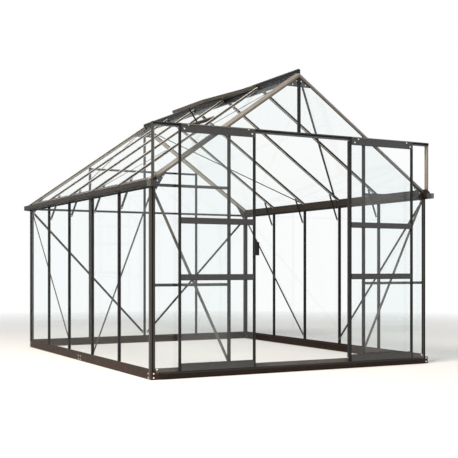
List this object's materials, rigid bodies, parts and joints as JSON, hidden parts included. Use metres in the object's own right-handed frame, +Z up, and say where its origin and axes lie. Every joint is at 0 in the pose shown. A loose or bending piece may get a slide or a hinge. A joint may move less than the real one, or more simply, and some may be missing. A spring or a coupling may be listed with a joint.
{
  "type": "glass greenhouse with two sliding doors",
  "caption": "Free-standing aluminium glass greenhouse with a pitched roof, an open roof window and double sliding doors in the front gable.",
  "frame": {"origin": "centre of the part's footprint, on the ground", "axes": "+X to the right seen from the doors, +Y from the door gable to the rear gable, +Z up"},
  "size_m": [2.626, 3.2686, 2.3719],
  "materials": {
    "frame": "anthracite black powder coat on extruded aluminium",
    "base_steel": "black powder coat on folded steel",
    "clear_glass": "clear 3 mm toughened glass",
    "nylon": "black nylon door rollers"
  },
  "bodies": {
    "root": {"base_end_rails": "base_steel", "base_joint_plates": "base_steel", "base_side_rails": "base_steel", "corner_posts": "frame", "door_header": "frame", "door_posts": "frame", "door_track": "frame", "front_crossbars": "frame", "front_glass": "clear_glass", "gable_gussets": "frame", "gable_rafters": "frame", "gutter_end_caps": "frame", "gutters": "frame", "king_post": "frame", "knee_stays": "frame", "left_roof_glass": "clear_glass", "left_wall_glass": "clear_glass", "rafters": "frame", "rear_crossbars": "frame", "rear_glass": "clear_glass", "rear_studs": "frame", "ridge_beam": "frame", "right_roof_glass": "clear_glass", "right_wall_glass": "clear_glass", "roof_braces": "frame", "roof_window_frame": "frame", "roof_window_glass": "clear_glass", "roof_window_sill": "frame", "roof_window_stay": "frame", "side_wall_bars": "frame", "sills": "frame", "threshold": "frame", "track_uprights": "frame", "wall_braces": "frame"},
    "left_door": {"left_door_glass": "clear_glass", "left_door_handle": "frame", "left_door_hanger": "frame", "left_door_rails": "frame", "left_door_rollers": "nylon", "left_door_stiles": "frame"},
    "right_door": {"right_door_glass": "clear_glass", "right_door_hanger": "frame", "right_door_rails": "frame", "right_door_rollers": "nylon", "right_door_stiles": "frame"}
  },
  "joints": [
    {"name": "left_door_slide", "type": "slide", "parent": "root", "child": "left_door", "axis": [-1, 0, 0], "range_m": [-0.416, 0.172]},
    {"name": "right_door_slide", "type": "slide", "parent": "root", "child": "right_door", "axis": [1, 0, 0], "range_m": [-0.448, 0.14]}
  ]
}
